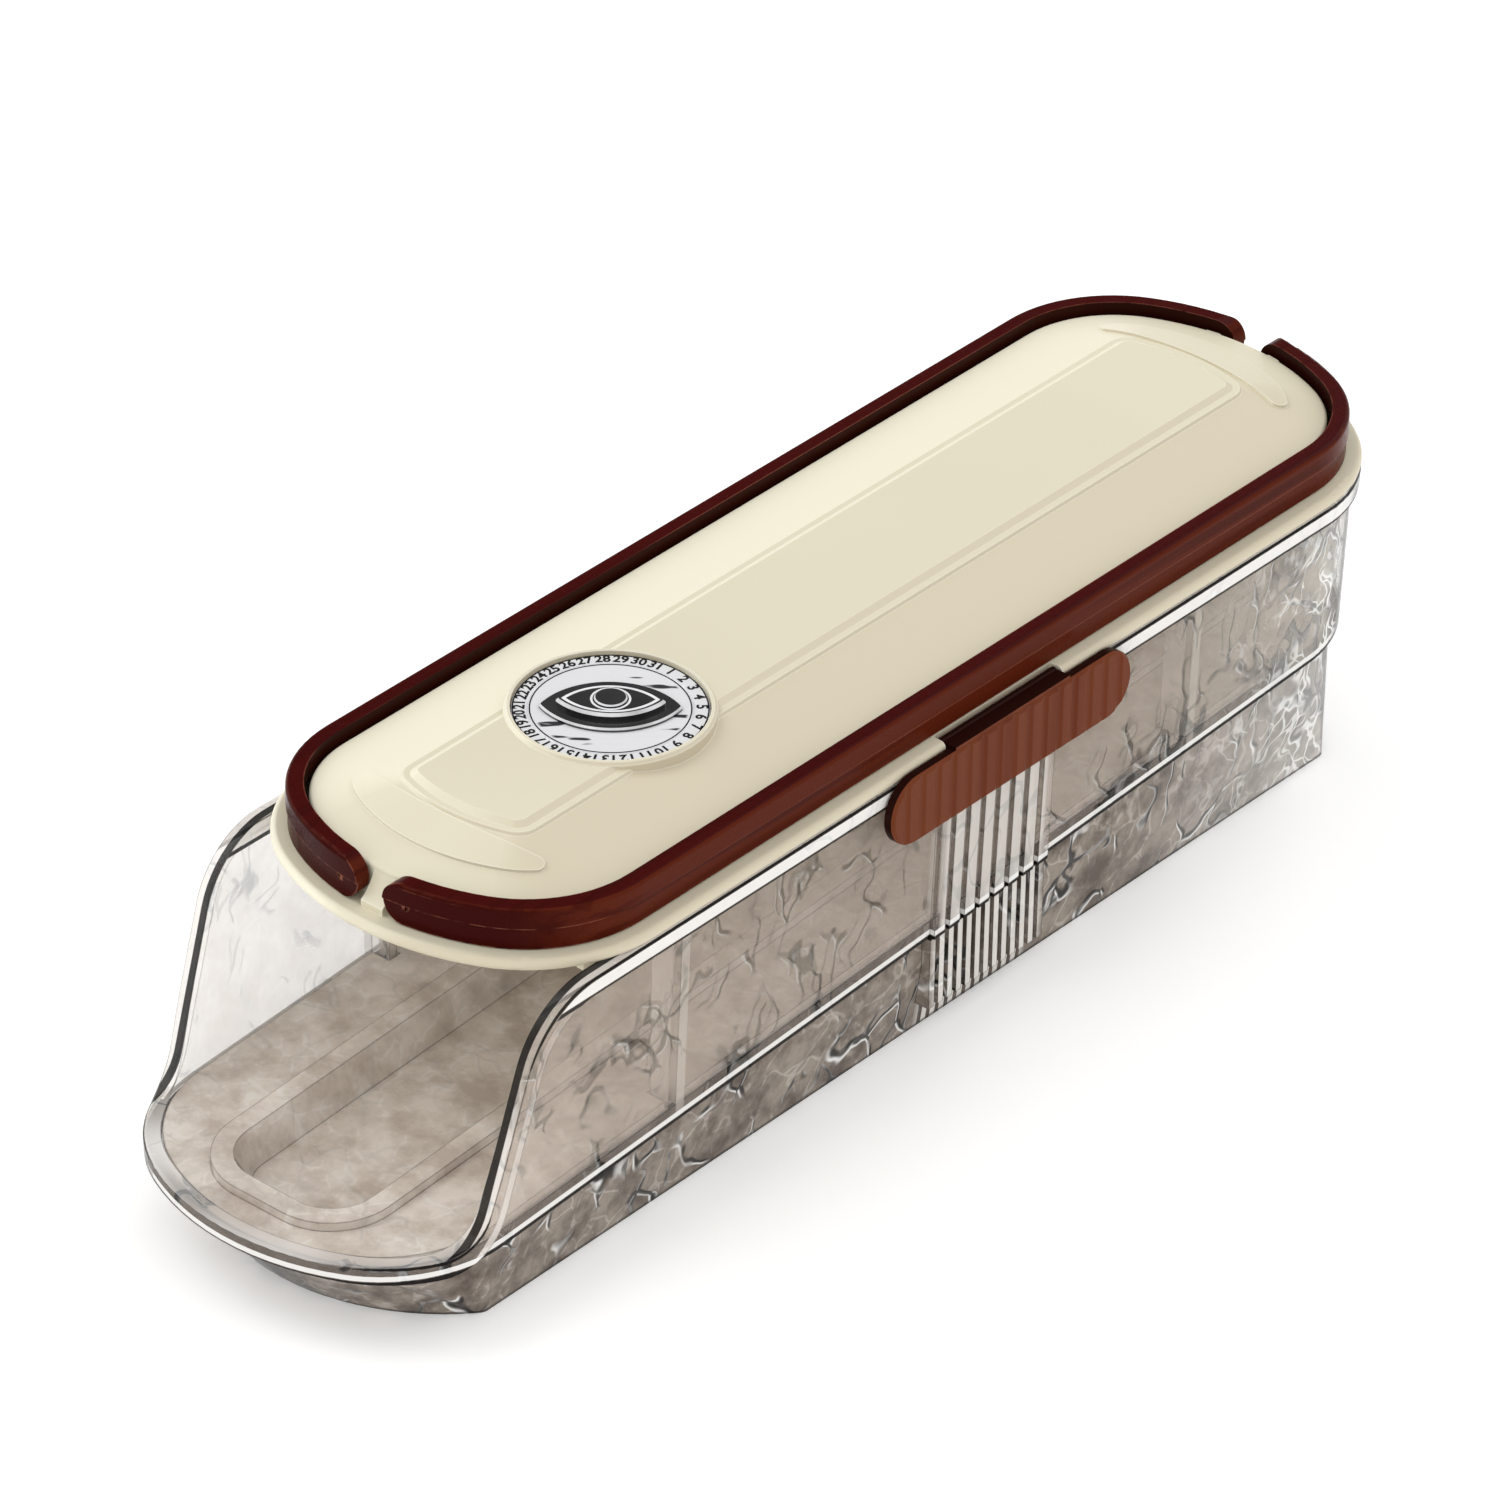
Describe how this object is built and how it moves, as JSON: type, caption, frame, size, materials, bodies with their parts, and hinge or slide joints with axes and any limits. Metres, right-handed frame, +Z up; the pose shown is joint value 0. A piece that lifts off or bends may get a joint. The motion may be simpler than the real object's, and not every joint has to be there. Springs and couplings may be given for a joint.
{
  "type": "rolling egg dispenser",
  "caption": "Clear covered egg box with a sloping ramp to an open front lip, a lift-off lid with folding handles, side latches and a turning date dial.",
  "frame": {"origin": "middle of the bottom of the whole object's box", "axes": "+Y along the box from the open mouth to the closed rear end, +Z up, +X to the right when looking along +Y"},
  "size_m": [0.1028, 0.3498, 0.0961],
  "materials": {
    "clear_plastic": "clear, polished",
    "cream_plastic": "satin, cream",
    "brown_plastic": "gloss, dark reddish brown",
    "white_plastic": "satin, white",
    "dark_plastic": "gloss, black"
  },
  "bodies": {
    "tub": {"tub": "clear_plastic", "ramp_tray": "clear_plastic"},
    "lid": {"lid": "cream_plastic", "handle_pin_front_left": "brown_plastic", "handle_pin_front_right": "brown_plastic", "handle_pin_rear_left": "brown_plastic", "handle_pin_rear_right": "brown_plastic", "latch_pin_left": "brown_plastic", "latch_pin_right": "brown_plastic"},
    "handle_left": {"handle_left": "brown_plastic"},
    "handle_right": {"handle_right": "brown_plastic"},
    "latch_left": {"latch_left": "brown_plastic"},
    "latch_right": {"latch_right": "brown_plastic"},
    "dial": {"dial_disc": "white_plastic", "dial_grip": "dark_plastic", "dial_retainer": "cream_plastic"}
  },
  "joints": [
    {"name": "lid_lift", "type": "slide", "parent": "tub", "child": "lid", "axis": [0, 0, 1], "range_m": [0, 0.12]},
    {"name": "handle_right_hinge", "type": "hinge", "parent": "lid", "child": "handle_right", "pos_m": [0.0087, 0.02075, 0.0843], "axis": [0, -1, 0], "range_deg": [0, 88]},
    {"name": "handle_left_hinge", "type": "hinge", "parent": "lid", "child": "handle_left", "pos_m": [-0.0087, 0.02075, 0.0843], "axis": [0, 1, 0], "range_deg": [0, 88]},
    {"name": "latch_right_hinge", "type": "hinge", "parent": "lid", "child": "latch_right", "pos_m": [0.0463, 0.02075, 0.07735], "axis": [0, -1, 0], "range_deg": [0, 75]},
    {"name": "latch_left_hinge", "type": "hinge", "parent": "lid", "child": "latch_left", "pos_m": [-0.0463, 0.02075, 0.07735], "axis": [0, 1, 0], "range_deg": [0, 75]},
    {"name": "dial_spin", "type": "hinge", "parent": "lid", "child": "dial", "pos_m": [0, -0.0538, 0.0925], "axis": [0, 0, 1], "continuous": true}
  ]
}
